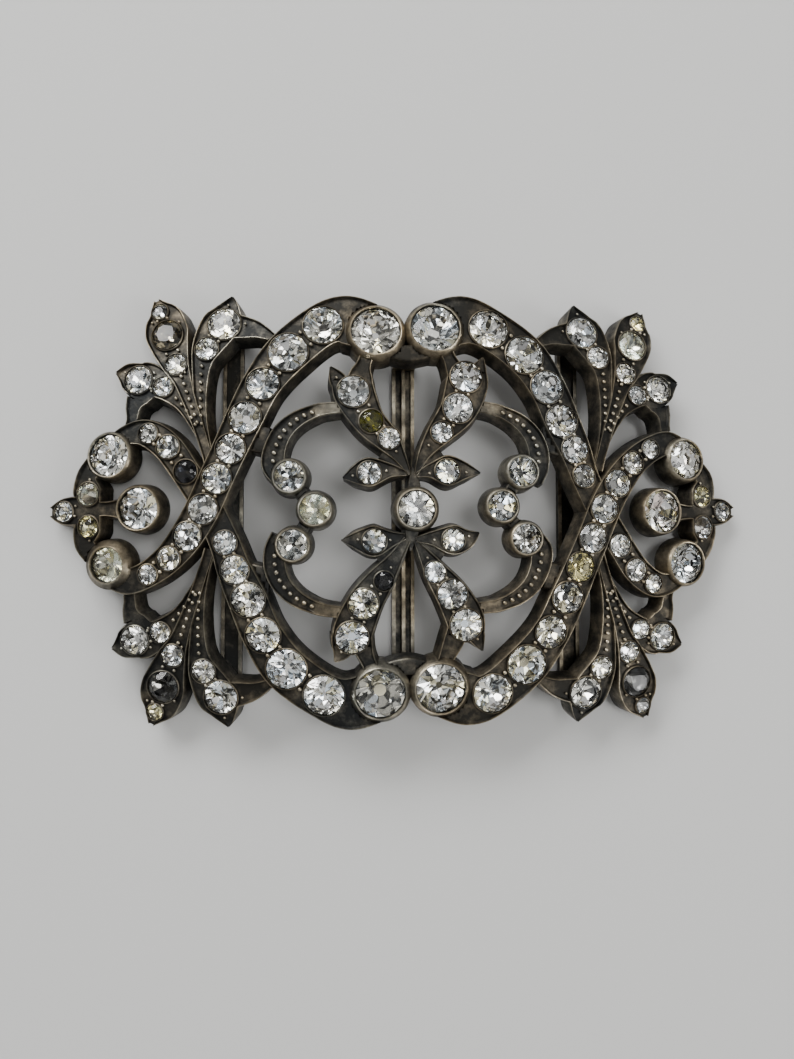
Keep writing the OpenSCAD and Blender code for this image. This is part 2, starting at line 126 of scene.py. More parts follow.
# Leaves round the centre: ribbon, horn, neck, stones
BIG_LEAVES = [
    [[(0, 4.4, 0.2), (-1.4, 6.9, 0.95), (-3.1, 9.2, 1.8), (-5.5, 11.8, 2.25), (-7.4, 15.5, 2.85),
      (-7.6, 17.3, 2.6)],
     [(-8.7, 15.6, 1.4), (-9.75, 17.6, 1.15), (-10.6, 19.1, 0.1)],
     [(-6.6, 16, 1.9), (-6.5, 18, 1.6), (-6.1, 19.4, 1.05), (-5.6, 20.8, 1)],
     [(-7.5, 15.7, 2.05), (-5.1, 11.6, 1.5), (-2.7, 9.3, 1.35)]],
    [[(0.8, 4.3, 0.2), (2, 7.2, 0.9), (3.9, 9.9, 1.7), (6.65, 13.3, 2.55), (7.95, 16.8, 2.95),
      (8.05, 18.6, 2.75)],
     [(8.8, 17.6, 2), (9.7, 19.2, 1.2), (10.3, 20.8, 0.1)],
     [(6.8, 18, 1.6), (5.8, 20.2, 1), (5.2, 21.6, 1)],
     [(7.9, 18, 2.05), (6.7, 13.6, 1.95), (4.4, 10.2, 1.35)]],
    [[(-0.3, -4.2, 0.5), (-2.1, -7.1, 1.15), (-3.9, -9.7, 1.9), (-5.9, -12.7, 2.4),
      (-7.4, -16.2, 2.7), (-7.6, -18.2, 2.5)],
     [(-8.6, -17.2, 1.8), (-9, -19.2, 1.3), (-9.9, -20.5, 0.1)],
     [(-6.4, -17.8, 1.6), (-5.7, -19.8, 1.1), (-5, -21.4, 1)],
     [(-7.6, -17.3, 2.05), (-6.1, -12.8, 1.9), (-3.4, -9.8, 1.2)]],
    [[(0.7, -4.4, 0.2), (2.2, -6.6, 1), (3.8, -9, 1.7), (6, -12, 2.35), (7.5, -14.8, 2.65),
      (7.8, -16.6, 2.5)],
     [(8.6, -15.8, 1.5), (9.3, -17.6, 1.1), (10, -19.2, 0.1)],
     [(6.6, -16.4, 1.6), (5.7, -18.6, 1.35), (4.8, -20.6, 1)],
     [(7.7, -15.7, 2.05), (5.8, -11.6, 1.9), (3.4, -8.6, 1.35)]]]
LEAF_STONE_NAMES = ["outer", "middle", "inner"]
# Ribbon and stone of each leaf between them
SMALL_LEAVES = [
    [[(-0.4, 4.5, 0.3), (-2.6, 4.9, 1), (-5.3, 4.7, 2), (-7.3, 4.3, 1.3), (-8.9, 3.9, 0.1)],
     (-5.4, 4.6, 1.45)],
    [[(0.9, 4.3, 0.3), (2.7, 4.9, 1), (5.1, 5, 2.1), (7.4, 5, 1.3), (9.6, 4.7, 0.1)],
     (5.1, 4.9, 1.55)],
    [[(-0.6, -3.9, 0.4), (-2.4, -4.2, 1.1), (-4.7, -4.5, 2.1), (-7, -4.4, 1.3), (-9.1, -4.4, 0.1)],
     (-4.7, -4.5, 1.5)],
    [[(0.8, -4.3, 0.3), (3, -4.1, 1), (5.8, -4.3, 2), (7.8, -4.1, 1.4), (9.4, -3.3, 0.1)],
     (5.9, -4.3, 1.45)]]
CENTRE_NECKS = [
    [(0.7, 2, 0.9), (0.6, 3.4, 0.8), (0.5, 4.6, 0.4), (0.4, 5.5, 0.05)],
    [(0.5, -2.4, 0.9), (0.3, -3.8, 0.9), (0.2, -5, 0.4), (0.1, -5.8, 0.05)]]
# The dark webs between each small leaf and its big leaf
LEAF_WEBS = [
    [(-1.0, 5.1, 0.3), (-2.4, 6.1, 0.45), (-3.8, 7.1, 0.6)],
    [(1.5, 5.1, 0.3), (2.8, 6.3, 0.5), (4.4, 7.4, 0.6)],
    [(-1.3, -5.2, 0.3), (-2.8, -5.95, 0.5), (-4.2, -7.0, 0.6)],
    [(1.6, -5.0, 0.3), (3.0, -5.6, 0.5), (4.5, -6.6, 0.6)]]

# The corners, in the order of the middle leaves, and the signs of x and y in each
CORNERS = ["upper_left", "upper_right", "lower_left", "lower_right"]
SIGNS = [(-1, 1), (1, 1), (-1, -1), (1, -1)]


# The dome
def dome_z(x, y):
    return DOME_HEIGHT - DOME_RADIUS + np.sqrt(DOME_RADIUS**2 - x * x - y * y)


def lift(x, y, h):
    """Points at height h over the girdle sphere, measured along its normal."""
    z = dome_z(x, y)
    normal = np.stack([x, y, z - DOME_HEIGHT + DOME_RADIUS], -1) / DOME_RADIUS
    return np.stack([x, y, z], -1) + normal * h[..., None]


def dome_matrix(x, y):
    """Stands an object at a place on the dome, its Z along the normal."""
    azimuth = math.atan2(y, x)
    tilt = math.asin(math.hypot(x, y) / DOME_RADIUS)
    turn = Matrix.Rotation(azimuth, 4, "Z") @ Matrix.Rotation(tilt, 4, "Y")
    turn = turn @ Matrix.Rotation(-azimuth, 4, "Z")
    return Matrix.Translation((x, y, float(dome_z(np.float64(x), np.float64(y))))) @ turn


# Copies of the tables
def unturned(rows):
    return rows


def turned(rows):
    """The rows turned half round the middle."""
    return [(-r[0], -r[1], *r[2:]) for r in rows]


def cornered(rows, sx, sy):
    """The rows of the upper left corner, mirrored into the corner with these signs."""
    return [(-sx * r[0], sy * r[1], *r[2:]) for r in rows]


HALVES = (unturned, turned)


# Curves
def smooth(rows):
    """The smooth curve through the rows, in steps of about PACE."""
    rows = np.array(rows, float)
    last = len(rows) - 1
    points = []
    for i in range(last):
        before, here = rows[max(i - 1, 0)], rows[i]
        ahead, after = rows[i + 1], rows[min(i + 2, last)]
        bend = 2 * before - 5 * here + 4 * ahead - after
        twist = 3 * here - before - 3 * ahead + after
        steps = max(2, int(math.ceil(np.hypot(*(ahead - here)[:2]) / PACE)))
        for t in np.arange(steps) / steps:
            points.append(0.5 * (2 * here + (ahead - before) * t + bend * t * t + twist * t**3))
    points.append(rows[last])
    return np.array(points)


def lengths(path):
    """How far along the path each of its points is."""
    return np.concatenate([[0], np.cumsum(np.hypot(*np.diff(path[:, :2], axis=0).T))])


def sideways(path):
    """Unit vectors to the left of the path."""
    run = np.gradient(path[:, :2], axis=0)
    run /= np.linalg.norm(run, axis=1)[:, None]
    return np.stack([-run[:, 1], run[:, 0]], -1)


def outline(path, inset):
    """The outline of the ribbon along a path, drawn in by the inset."""
    side = sideways(path) * np.maximum(path[:, 2] - inset, 0.02)[:, None]
    return np.concatenate([path[:, :2] + side, (path[:, :2] - side)[::-1]])


def inside(polygon, x, y):
    """Which of the points lie in the polygon."""
    found = np.zeros(x.shape, bool)
    px, py = polygon[:, 0], polygon[:, 1]
    qx, qy = np.roll(px, -1), np.roll(py, -1)
    for ax, ay, bx, by in zip(px, py, qx, qy):
        if ay != by:
            crosses = (ay > y) != (by > y)
            found ^= crosses & (x < (bx - ax) * (y - ay) / (by - ay) + ax)
    return found


def turns(count):
    """Angles evenly round a circle."""
    return np.arange(count) * 2 * math.pi / count


# Every stone that lies in a channel, and every round bezel
def channel_stones():
    rows = []
    for turn in HALVES:
        for table in (OVER_STONES, UNDER_STONES, TREFOIL_STONES):
            rows += turn(table)
    for sx, sy in SIGNS:
        rows += cornered(SPRAY_STONES, sx, sy)
    for leaf in BIG_LEAVES:
        rows += leaf[3]
    rows += [leaf[1] for leaf in SMALL_LEAVES]
    rows = np.array(rows, float)
    rows[:, 2] *= STONE_SPREAD
    return rows


stones = channel_stones()
bezels = [CENTRE_BEZEL, *LEFT_BEZELS, *RIGHT_BEZELS]

# Half of a channelled ribbon's section, from its underside over the rim to the channel floor:
# distance inside the edge, height, wear
CHANNEL_HALF = [
    (-0.20, -DEPTH, 0.0), (-0.38, -2.62, 0.08), (-0.29, -1.75, 0.18), (-0.16, -0.85, 0.24),
    (-0.05, -0.18, 0.32), (0.01, 0.05, 0.46), (0.08, 0.20, 0.62), (0.15, 0.19, 0.50),
    (0.22, 0.04, 0.24), (0.27, -0.16, 0.12), (0.35, FLOOR, 0.05)]
# The same of a plain ribbon, which has no channel
PLAIN_HALF = [
    (-0.15, -DEPTH, 0.0), (-0.25, -2.62, 0.05), (-0.18, -1.8, 0.1), (-0.08, -1.0, 0.14),
    (0.0, -0.45, 0.16), (0.12, -0.25, 0.2), (0.3, -0.18, 0.06)]
# The first row of a section that belongs to its top
RIM_START = 4
# Half widths from which a ribbon has its full section, and its channel its full depth
FULL_SECTION = 0.95
FULL_CHANNEL = 0.7
# The part of a section between this height and the girdles gets shallow with the channel
LOWEST_CHANNEL = -0.6
# Columns across a floor: their spacing, fewest and most, and those of a plain ribbon
COLUMN_SPACING = 0.17
COLUMNS = (5, 17)
PLAIN_COLUMNS = 3
FLOOR_WEAR = 0.06
# Distances from a stone's edge: the furthest that its seat changes, the floor that its pit's wall
# takes to either side, how near a rim may come, and how far off it is then moved
SEAT_REACH = 0.2
PIT_EDGE = 0.13
RIM_TAKEN = 0.05
RIM_GAP = 0.06
# The solid start of a scroll, before its channel: height, wear and length of the change
FILL_HEIGHT = 0.1
FILL_WEAR = 0.42
FILL_CHANGE = 1.2
# How far inside the outline of another ribbon, or of a bezel, a ribbon joins it or sinks
JOINED_INSET = 0.25
JOINED_WEAR = 0.07
OVER_INSET = 0.14
BEZEL_INSET = 0.2


def section(half, widths, across):
    """Offsets, heights and wear over the sections of a ribbon, one row for each half width."""
    scale = np.clip(widths / FULL_SECTION, 0.12, 1)[:, None]
    steps = np.array(half)
    offsets = widths[:, None] - steps[None, :, 0] * scale
    heights = np.repeat(steps[None, :, 1], len(widths), 0)
    shallow = np.clip(widths / FULL_CHANNEL, 0.1, 1)[:, None]
    channel = (heights > LOWEST_CHANNEL) & (heights < 0)
    heights = np.where(channel, heights * shallow, heights)
    wear = np.repeat(steps[None, :, 2], len(widths), 0)
    middle = offsets[:, -1:] * np.linspace(1, -1, across + 2)[None, 1:-1]
    flat = np.repeat(heights[:, -1:], across, 1)
    return (np.concatenate([offsets, middle, -offsets[:, ::-1]], 1),
            np.concatenate([heights, flat, heights[:, ::-1]], 1),
            np.concatenate([wear, np.full_like(flat, FLOOR_WEAR), wear[:, ::-1]], 1))


class Shape:
    """Vertices, faces and wear that grow into one mesh."""

    def __init__(self):
        self.places = []
        self.faces = []
        self.wear = []
        self.count = 0

    def add(self, places, faces, wear):
        places = np.asarray(places, float).reshape(-1, 3)
        places[:, 2] = np.maximum(places[:, 2], TIP_CLEARANCE)
        self.places.append(places)
        self.faces += [tuple(int(i) + self.count for i in face) for face in faces]
        self.wear.append(np.asarray(wear, float).ravel())
        self.count += len(places)

    def build(self, name, material, sharp):
        """Makes the object, with edges sharper than this many degrees kept sharp."""
        mesh = bpy.data.meshes.new(name)
        places = np.concatenate(self.places) * MM
        mesh.from_pydata(places.tolist(), [], self.faces)
        mesh.validate()
        mark = mesh.attributes.new("wear", "FLOAT", "POINT")
        mark.data.foreach_set("value", np.concatenate(self.wear).astype(np.float32))
        mesh.polygons.foreach_set("use_smooth", [True] * len(mesh.polygons))
        mesh.materials.append(material)
        mesh.set_sharp_from_angle(angle=math.radians(sharp))
        made = bpy.data.objects.new(name, mesh)
        bpy.context.scene.collection.objects.link(made)
        return made


def cut_seats(x, y, heights, wear, top, floor):
    """Sinks a pit into the floor at each stone, and moves the rims out of its way."""
    for sx, sy, r in stones:
        dx, dy = x - sx, y - sy
        far = np.hypot(dx, dy)
        if far.min() > r + SEAT_REACH:
            continue
        pit = floor & (far < r - PIT_EDGE)
        heights = np.where(pit, PIT, heights)
        wear = np.where(pit, 0.0, wear)
        reach = np.where(floor, r + PIT_EDGE, r + RIM_TAKEN)
        rim = top & ~pit & (far < reach) & (far > 1e-6)
        push = np.where(rim, (r + RIM_GAP) / np.maximum(far, 1e-6), 1)
        x, y = sx + dx * push, sy + dy * push
    return x, y, heights, wear


def sweep(shape, rows, over=(), joined=(), plain=False, solid_start=0.0):
    """Adds a ribbon. Where it runs under a ribbon of over, or into a bezel, it sinks. Its rim is
    left out inside the joined ribbons, and its channel over the length of its solid start."""
    path = smooth(rows)
    half = PLAIN_HALF if plain else CHANNEL_HALF
    across = PLAIN_COLUMNS if plain else int(np.clip(path[:, 2].max() / COLUMN_SPACING, *COLUMNS))
    offsets, heights, wear = section(half, path[:, 2], across)
    side = sideways(path)
    x = path[:, 0, None] + side[:, 0, None] * offsets
    y = path[:, 1, None] + side[:, 1, None] * offsets
    count = offsets.shape[1]
    place = np.arange(count)
    top = np.broadcast_to((place >= RIM_START) & (place < count - RIM_START), x.shape)
    floor = np.broadcast_to((place >= len(half) - 1) & (place <= count - len(half)), x.shape)
    x, y, heights, wear = cut_seats(x, y, heights, wear, top, floor)
    if solid_start:
        gone = lengths(path)[:, None]
        filled = np.clip((solid_start - gone) / FILL_CHANGE + 0.5, 0, 1) * top
        raised = heights + (FILL_HEIGHT - heights) * filled
        heights = np.where(heights < FILL_HEIGHT, raised, heights)
        wear = np.maximum(wear, FILL_WEAR * filled)
    for other in joined:
        level = inside(outline(smooth(other), JOINED_INSET), x, y) & (heights > FLOOR)
        heights = np.where(level, FLOOR, heights)
        wear = np.where(level, JOINED_WEAR, wear)
    for other in over:
        under = inside(outline(smooth(other), OVER_INSET), x, y)
        heights = np.where(under, np.minimum(heights, UNDER_RIBBON), heights)
    for bx, by, _, outer in bezels:
        under = np.hypot(x - bx, y - by) < outer - BEZEL_INSET
        heights = np.where(under, np.minimum(heights, UNDER_BEZEL), heights)
    index = np.arange(len(path) * count).reshape(len(path), count)
    beside = np.roll(index, -1, 1)
    sides = np.stack([index[:-1], beside[:-1], beside[1:], index[1:]], -1)
    faces = sides.reshape(-1, 4).tolist() + [index[0][::-1].tolist(), index[-1].tolist()]
    shape.add(lift(x, y, heights), faces, wear)


# The openwork casting
SCROLL_START = 4.4
both_bands = [turn(band) for turn in HALVES for band in (OVER_BAND, UNDER_BAND)]


def add_half(shape, turn):
    """The two bands, webs, scrolls and trefoil of one half."""
    over = turn(OVER_BAND)
    under = turn(UNDER_BAND)
    sweep(shape, over)
    sweep(shape, under, [over])
    for k, web in enumerate(WEBS):
        ties_a_scroll = k < len(SCROLLS)
        above = [over, under, turn(SCROLLS[k])] if ties_a_scroll else []
        sweep(shape, turn(web), above, plain=True)
    leaves = [leaf[0] for leaf in BIG_LEAVES]
    for scroll in SCROLLS:
        sweep(shape, turn(scroll), [over, under, *leaves], solid_start=SCROLL_START)
    stem, *lobes = [turn(rows) for rows in TREFOIL]
    sweep(shape, stem, joined=lobes)
    for lobe in lobes:
        sweep(shape, lobe, [stem])


def add_spray(shape, sx, sy):
    """The three leaves and two tails of one corner, the outer leaves under the middle one."""
    low, middle, high = [cornered(rows, sx, sy) for rows in SPRAY_LEAVES]
    low_tail, high_tail = [cornered(rows, sx, sy) for rows in SPRAY_TAILS]
    sweep(shape, middle, both_bands)
    sweep(shape, low, both_bands + [middle], [low_tail])
    sweep(shape, high, both_bands + [middle], [high_tail])
    sweep(shape, low_tail, both_bands + [low])
    sweep(shape, high_tail, both_bands + [high])


def add_middle(shape):
    """The big and small leaves round the centre, with what ties them to it."""
    for ribbon, horn, neck, _ in BIG_LEAVES:
        sweep(shape, ribbon, joined=[horn, neck])
        sweep(shape, horn, [ribbon])
        sweep(shape, neck, [ribbon])
    for ribbon, _ in SMALL_LEAVES:
        sweep(shape, ribbon)
    for rows in CENTRE_NECKS + LEAF_WEBS:
        sweep(shape, rows, plain=True)


openwork = Shape()
for turn in HALVES:
    add_half(openwork, turn)
for sx, sy in SIGNS:
    add_spray(openwork, sx, sy)
add_middle(openwork)

# Round bezels, as closed cups
CUP_TURNS = 56
# Depth of a stone as a part of its radius, the gap below it and the metal below that
PAVILION = 0.8
SEAT_GAP = 0.1
BEZEL_FLOOR = 0.45
WIDEST_LIP = 0.62


def cup_profile(r, outer):
    """Radius, height and wear, from the middle of the seat over the lip to the underside."""
    seat = PAVILION * r + SEAT_GAP
    base = max(DEPTH, seat + BEZEL_FLOOR)
    lip = min(outer - r, WIDEST_LIP)
    return [
        (0.0, -seat - 0.03, 0.0), (0.2 * r, -seat - 0.03, 0.0), (r + 0.05, -0.35, 0.0),
        (r + 0.05, 0.02, 0.1), (r + 0.04, 0.26, 0.3), (r + 0.12, 0.41, 0.6), (r + 0.24, 0.43, 0.7),
        (r + 0.62 * lip, 0.30, 0.55), (r + 0.85 * lip, 0.02, 0.5), (outer - 0.02, -0.35, 0.45),
        (outer + 0.06, -1.0, 0.36), (outer + 0.14, -2.0, 0.28), (outer + 0.16, -base + 0.25, 0.15),
        (outer, -base, 0.05), (0.0, -base, 0.0)]


def add_cup(shape, x, y, r, outer):
    rings, places, wear, faces = [], [], [], []
    for radius, height, wear_and_highlight in cup_profile(r, outer):
        start = len(places)
        if radius == 0:
            rings.append([start])
            places.append((0, 0, height))
            wear.append(wear_and_highlight)
        else:
            rings.append(list(range(start, start + CUP_TURNS)))
            places += [(radius * math.cos(t), radius * math.sin(t), height) for t in turns(CUP_TURNS)]
            wear += [wear_and_highlight] * CUP_TURNS
    for low, high in zip(rings, rings[1:]):
        for k in range(CUP_TURNS):
            n = (k + 1) % CUP_TURNS
            if len(low) == 1:
                faces.append((low[0], high[k], high[n]))
            elif len(high) == 1:
                faces.append((low[n], low[k], high[0]))
            else:
                faces.append((low[n], low[k], high[k], high[n]))
    stand = dome_matrix(x, y)
    shape.add([stand @ Vector(p) for p in places], faces, wear)


cups = Shape()
for bezel in bezels:
    add_cup(cups, *bezel)

# The pressed edge of each seat, a thin ring round the stone
RING_TURNS = 36
# Distance outside the stone, height, wear
RING_SECTION = [
    (0.05, -0.2, 0.0), (0.05, 0.0, 0.15), (0.1, 0.06, 0.4),
    (0.2, 0.03, 0.34), (0.26, -0.1, 0.12), (0.28, -0.4, 0.0)]


def add_seat_ring(shape, x, y, r):
    stand = dome_matrix(x, y)
    places = [stand @ Vector(((r + out) * math.cos(t), (r + out) * math.sin(t), height))
              for out, height, _ in RING_SECTION for t in turns(RING_TURNS)]
    rows = len(RING_SECTION)
    faces = []
    for row in range(rows):
        low = row * RING_TURNS
        high = (row + 1) % rows * RING_TURNS
        for k in range(RING_TURNS):
            n = (k + 1) % RING_TURNS
            faces.append((low + n, low + k, high + k, high + n))
    shape.add(places, faces, np.repeat([wear_and_highlight for _, _, wear_and_highlight in RING_SECTION], RING_TURNS))


seat_rings = Shape()
for stone in stones:
    add_seat_ring(seat_rings, *stone)

# Grains between the stones, and rows of beads along the stems and scrolls
BAND_GRAIN = 0.3
LEAF_GRAIN = 0.25
SMALL_GRAIN = 0.2
SCROLL_BEAD = 0.34
STEM_BEAD = 0.29
# Heights of their middles
LOW_MIDDLE = FLOOR + 0.2
MIDDLE = FLOOR + 0.22
HIGH_MIDDLE = FLOOR + 0.25
# Two stones further apart than this have no grains between them
GRAIN_REACH = 7
# The stones of a spray that have grains between them
SPRAY_PAIRS = [(0, 1), (2, 3), (3, 4), (5, 6)]
# Where a row of beads starts and ends as a share of its ribbon, and its spacing
SCROLL_ROW = (0.28, 0.86, 1.12)
SPRAY_ROWS = [(0.3, 0.6, 1.15), (0.25, 0.53, 1.15), (0.24, 0.6, 1.15)]
# Places of single grains: x, y
TREFOIL_GRAINS = [(-45.4, -0.9), (-45.3, 0.5), (-43.3, 4.1), (-43.2, -4.3)]
SPRAY_GRAINS = [
    (-35.2, 26), (-31.4, 26), (-24.6, 28.2), (-22.2, 25.4), (-38.7, 18.9), (-34.9, 16.1),
    (-34.6, 18.7), (-30.3, 18.6), (-28.9, 21.3)]
MIDDLE_GRAINS = [
    (-1.78, 7.5), (2.6, 8.4), (-2.5, -8.0), (2.4, -6.7), (-3.1, 4.9), (-7.6, 4.2), (2.7, 4.6),
    (7.7, 4.8), (-2.6, -4.35), (-6.9, -4.3), (3.3, -4.3), (8.0, -3.8)]

ball = bmesh.new()
bmesh.ops.create_icosphere(ball, subdivisions=2, radius=1)
BALL_PLACES = np.array([v.co for v in ball.verts])
BALL_FACES = [[v.index for v in f.verts] for f in ball.faces]
BALL_WEAR = 0.25 + 0.6 * np.clip(BALL_PLACES[:, 2], 0, 1)
ball.free()
grains = Shape()


def bead(x, y, radius, height):
    centre = lift(np.array([x], float), np.array([y], float), np.array([height]))[0]
    grains.add(centre + BALL_PLACES * radius, BALL_FACES, BALL_WEAR)


def bead_if_free(x, y, radius, height):
    """A bead, unless a stone or a bezel is in its way."""
    clear = (np.hypot(stones[:, 0] - x, stones[:, 1] - y) - stones[:, 2]).min()
    rims = min(math.hypot(bx - x, by - y) - outer for bx, by, _, outer in bezels)
    if clear > radius * 0.55 and rims > radius * 0.5:
        bead(x, y, radius, height)


def pair_grains(first, second, size):
    """A grain in each of the two notches between two stones."""
    (ax, ay, ar), (bx, by, br) = first, second
    gap = math.hypot(bx - ax, by - ay)
    ra, rb = ar + size * 0.9, br + size * 0.9
    if gap >= ra + rb:
        ra, rb = gap * ra / (ra + rb) + 0.15, gap * rb / (ra + rb) + 0.15
    along = (gap * gap + ra * ra - rb * rb) / (2 * gap)
    off = max(math.sqrt(max(ra * ra - along * along, 0.0)), 0.45 * min(ar, br))
    ux, uy = (bx - ax) / gap, (by - ay) / gap
    for side in (1, -1):
        x = ax + ux * along - side * uy * off
        y = ay + uy * along + side * ux * off
        bead_if_free(x, y, size, MIDDLE)


def bead_row(rows, start, end, spacing, radius):
    """Beads along a ribbon's middle, between two shares of its length."""
    path = smooth(rows)
    length = lengths(path)
    for at in np.arange(start * length[-1], end * length[-1], spacing):
        x, y = np.interp(at, length, path[:, 0]), np.interp(at, length, path[:, 1])
        bead_if_free(x, y, radius, LOW_MIDDLE)


for turn in HALVES:
    for table in (OVER_STONES, UNDER_STONES):
        row = turn(table)
        for first, second in zip(row, row[1:]):
            if math.hypot(first[0] - second[0], first[1] - second[1]) < GRAIN_REACH:
                pair_grains(first, second, BAND_GRAIN)
for leaf in BIG_LEAVES:
    for first, second in zip(leaf[3], leaf[3][1:]):
        pair_grains(first, second, LEAF_GRAIN)
for sx, sy in SIGNS:
    row = cornered(SPRAY_STONES, sx, sy)
    for first, second in SPRAY_PAIRS:
        pair_grains(row[first], row[second], LEAF_GRAIN)
for turn in HALVES:
    for scroll in SCROLLS:
        bead_row(turn(scroll), *SCROLL_ROW, SCROLL_BEAD)
    for x, y in turn(TREFOIL_GRAINS):
        bead_if_free(x, y, SMALL_GRAIN, LOW_MIDDLE)
for sx, sy in SIGNS:
    for rows, spread in zip(SPRAY_LEAVES, SPRAY_ROWS):
        bead_row(cornered(rows, sx, sy), *spread, STEM_BEAD)
    for x, y in cornered(SPRAY_GRAINS, sx, sy):
        bead_if_free(x, y, SMALL_GRAIN, MIDDLE)
for leaf in BIG_LEAVES:
    x, y = leaf[1][1][:2]
    bead(x, y, SMALL_GRAIN, HIGH_MIDDLE)
for x, y in MIDDLE_GRAINS:
    bead(x, y, SMALL_GRAIN, LOW_MIDDLE)

# Nodes of the materials and the sky. The sockets of a colour mix share their names with others,
# so they are found by these places.
MIX_SHARE = 0
MIX_FIRST = 6
MIX_SECOND = 7
MIX_RESULT = 2


def socket(node, name, value):
    node.inputs[name].default_value = value


def new_material(name):
    made = bpy.data.materials.new(name)
    made.use_nodes = True
    return made, made.node_tree, made.node_tree.nodes["Principled BSDF"]


def noise(tree, place, scale, detail, roughness=0.5):
    made = tree.nodes.new("ShaderNodeTexNoise")
    socket(made, "Scale", scale)
    socket(made, "Detail", detail)
    socket(made, "Roughness", roughness)
    tree.links.new(place, made.inputs["Vector"])
    return made.outputs["Fac"]


def height_of(tree, place):
    made = tree.nodes.new("ShaderNodeSeparateXYZ")
    tree.links.new(place, made.inputs["Vector"])
    return made.outputs["Z"]


def mapped(tree, value, source, target):
    """A value taken from one range to another."""
    made = tree.nodes.new("ShaderNodeMapRange")
    tree.links.new(value, made.inputs["Value"])
    for name, number in zip(("From Min", "From Max", "To Min", "To Max"), (*source, *target)):
        socket(made, name, number)
    return made.outputs["Result"]


def ramp(tree, value, stops):
    """A colour for each value, from rising stops of a position and a colour."""
    made = tree.nodes.new("ShaderNodeValToRGB")
    points = made.color_ramp.elements
    for k, (at, colour) in enumerate((stops[0], stops[-1])):
        points[k].position = at
        points[k].color = (*colour, 1)
    for at, colour in stops[1:-1]:
        points.new(at).color = (*colour, 1)
    tree.links.new(value, made.inputs["Fac"])
    return made.outputs["Color"]


def colour_mix(tree, kind):
    made = tree.nodes.new("ShaderNodeMix")
    made.data_type = "RGBA"
    made.blend_type = kind
    made.inputs[MIX_SHARE].default_value = 1.0
    return made


# Materials
# Metal tones from the dark recesses up, below the bright end of the ramp
TARNISH = [
    (0.0, (0.024, 0.023, 0.021)), (0.2, (0.062, 0.055, 0.045)),
    (0.45, (0.148, 0.128, 0.098)), (0.75, (0.31, 0.27, 0.205))]
# Slow change of hue over the metal, from blue black to brown
CASTS = [(0.36, (0.84, 0.93, 1.02)), (0.6, (1.02, 0.98, 0.88))]
# How much the wide noise adds to the wear and takes from it
PATCHINESS = 0.85
ROUGHNESS = (0.55, 0.27)
# Heights in metres just below and at the top edges of the bars' walls, over which the bars' painted
# highlight rises
WALL_TOP = (0.00105, 0.00128)


def wear_and_highlight_of(tree, place, wear_and_highlight):
    """The wear of a mesh. For a mesh that has none, such as a bar, a painted highlight that lightens it
    by
    height instead, from the two levels: below the top edges of its walls, and on them."""
    if wear_and_highlight:
        return mapped(tree, height_of(tree, place), WALL_TOP, wear_and_highlight)
    mark = tree.nodes.new("ShaderNodeAttribute")
    mark.attribute_name = "wear"
    return mark.outputs["Fac"]


def metal(name, bright, wear_and_highlight=None):
    """Tarnished metal: near black where wear is low, rubbed where it is high. A bar instead gets
    a painted highlight, lighter on top than down its walls.
    """
    made, tree, shader = new_material(name)
    place = tree.nodes.new("ShaderNodeTexCoord").outputs["Object"]
    patchy = tree.nodes.new("ShaderNodeMath")
    patchy.operation = "MULTIPLY_ADD"
    tree.links.new(noise(tree, place, scale=420.0, detail=5.0, roughness=0.65), patchy.inputs[0])
    patchy.inputs[1].default_value = 2 * PATCHINESS
    patchy.inputs[2].default_value = -PATCHINESS
    spread = tree.nodes.new("ShaderNodeMath")
    spread.operation = "ADD"
    tree.links.new(wear_and_highlight_of(tree, place, wear_and_highlight), spread.inputs[0])
    tree.links.new(patchy.outputs[0], spread.inputs[1])
    tone = ramp(tree, spread.outputs[0], TARNISH + [(1.0, bright)])
    mix = colour_mix(tree, "MULTIPLY")
    tree.links.new(tone, mix.inputs[MIX_FIRST])
    cast = ramp(tree, noise(tree, place, scale=70.0, detail=2.0), CASTS)
    tree.links.new(cast, mix.inputs[MIX_SECOND])
    tree.links.new(mix.outputs[MIX_RESULT], shader.inputs["Base Color"])
    rough = mapped(tree, spread.outputs[0], (0.0, 1.0), ROUGHNESS)
    tree.links.new(rough, shader.inputs["Roughness"])
    socket(shader, "Metallic", 0.9)
    bump = tree.nodes.new("ShaderNodeBump")
    socket(bump, "Strength", 0.35)
    socket(bump, "Distance", 0.00012)
    tree.links.new(noise(tree, place, scale=2600.0, detail=4.0), bump.inputs["Height"])
    tree.links.new(bump.outputs["Normal"], shader.inputs["Normal"])
    return made


def glass(name, tint):
    made, _, shader = new_material(name)
    socket(shader, "Base Color", (*tint, 1))
    socket(shader, "Transmission Weight", 1.0)
    socket(shader, "IOR", 1.42)
    socket(shader, "Roughness", 0.012)
    return made


def foil(name, tint, roughness):
    """The silvered back of a stone. Each facet has its own tone."""
    made, tree, shader = new_material(name)
    mark = tree.nodes.new("ShaderNodeAttribute")
    mark.attribute_name = "tone"
    mix = colour_mix(tree, "MULTIPLY")
    tree.links.new(mark.outputs["Color"], mix.inputs[MIX_FIRST])
    mix.inputs[MIX_SECOND].default_value = (*tint, 1)
    tree.links.new(mix.outputs[MIX_RESULT], shader.inputs["Base Color"])
    socket(shader, "Metallic", 1.0)
    socket(shader, "Roughness", roughness)
    return made


silver = metal("tarnished_silver", (0.62, 0.55, 0.44))
# The bars have no wear mark: their tops are painted lighter than their walls, a painted highlight along
# their top edges
side_metal = metal("bar_metal_dark", (0.5, 0.44, 0.36), (0.06, 0.42))
centre_metal = metal("bar_metal_rubbed_painted_highlight", (0.46, 0.47, 0.43), (0.16, 0.5))

